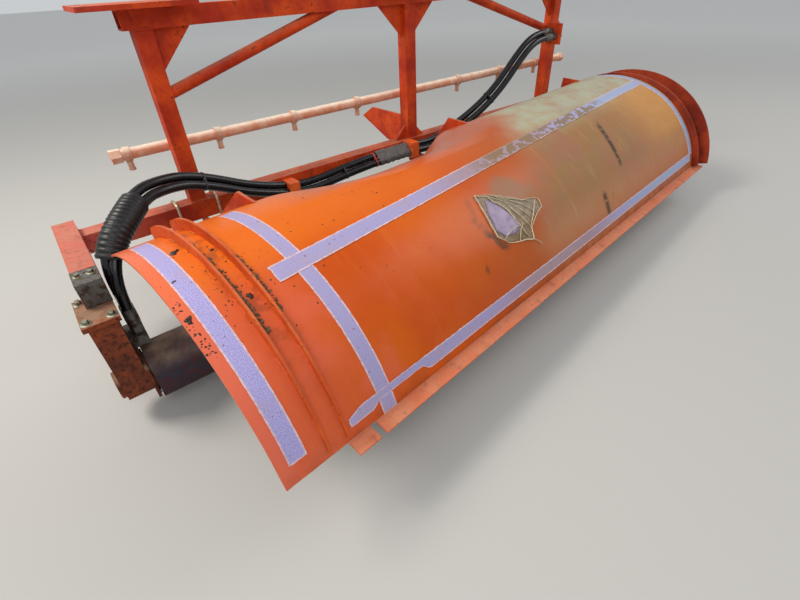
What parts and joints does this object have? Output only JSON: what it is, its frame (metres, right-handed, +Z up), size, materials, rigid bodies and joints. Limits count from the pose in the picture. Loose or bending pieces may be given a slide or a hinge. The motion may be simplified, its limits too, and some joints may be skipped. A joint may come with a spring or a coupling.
{
  "type": "broom head of a self-propelled broom",
  "caption": "Arched sheet hood on a tube frame, with a bare turning brush core, a hydraulic motor, hoses and a spray bar.",
  "frame": {"origin": "centre of the top face of the middle mounting plate, where the head hangs from its machine", "axes": "+X along the brush from the motor end to the bearing end, +Y from the hood's open front to the carrier frame, +Z up"},
  "size_m": [2.7504, 1.4125, 0.96],
  "materials": {
    "hood_paint": "satin",
    "frame_paint": "matte",
    "rusty_casting": "rough",
    "rusty_tube": "rough",
    "pipe_steel": "matte",
    "zinc_steel": "satin",
    "hose_rubber": "gloss",
    "sleeve_plastic": "matte",
    "clamp_plastic": "matte",
    "nozzle_plastic": "matte"
  },
  "bodies": {
    "carrier": {"hood_end_section": "hood_paint", "hood_main_section": "hood_paint", "rib_outer": "hood_paint", "rib_inner": "hood_paint", "rim_flanges": "hood_paint", "front_lip": "hood_paint", "hood_brackets": "frame_paint", "lower_beam": "frame_paint", "post_left": "frame_paint", "post_middle": "frame_paint", "post_right": "frame_paint", "top_rail": "frame_paint", "mounting_plates": "frame_paint", "brace_left": "frame_paint", "brace_right": "frame_paint", "post_gussets": "frame_paint", "post_back_plate": "frame_paint", "arm_left": "frame_paint", "arm_right": "frame_paint", "arm_caps": "zinc_steel", "hanger_left": "rusty_casting", "hanger_right": "rusty_casting", "hydraulic_motor": "rusty_casting", "port_block": "zinc_steel", "flange_bearing": "rusty_casting", "spray_pipe": "pipe_steel", "spray_caps": "pipe_steel", "spray_nozzles": "nozzle_plastic", "hose_bulkhead": "frame_paint", "bulkhead_fittings": "zinc_steel", "hose_lower": "hose_rubber", "hose_upper": "hose_rubber", "hose_clamps": "clamp_plastic", "hose_sleeve": "sleeve_plastic", "sleeve_grommets": "sleeve_plastic"},
    "core": {"core_tube": "rusty_tube", "drive_disc": "rusty_tube", "end_flange_and_shaft": "rusty_tube"}
  },
  "joints": [
    {"name": "core_spin", "type": "hinge", "parent": "carrier", "child": "core", "pos_m": [0, -0.4, -0.845], "axis": [1, 0, 0], "continuous": true}
  ]
}
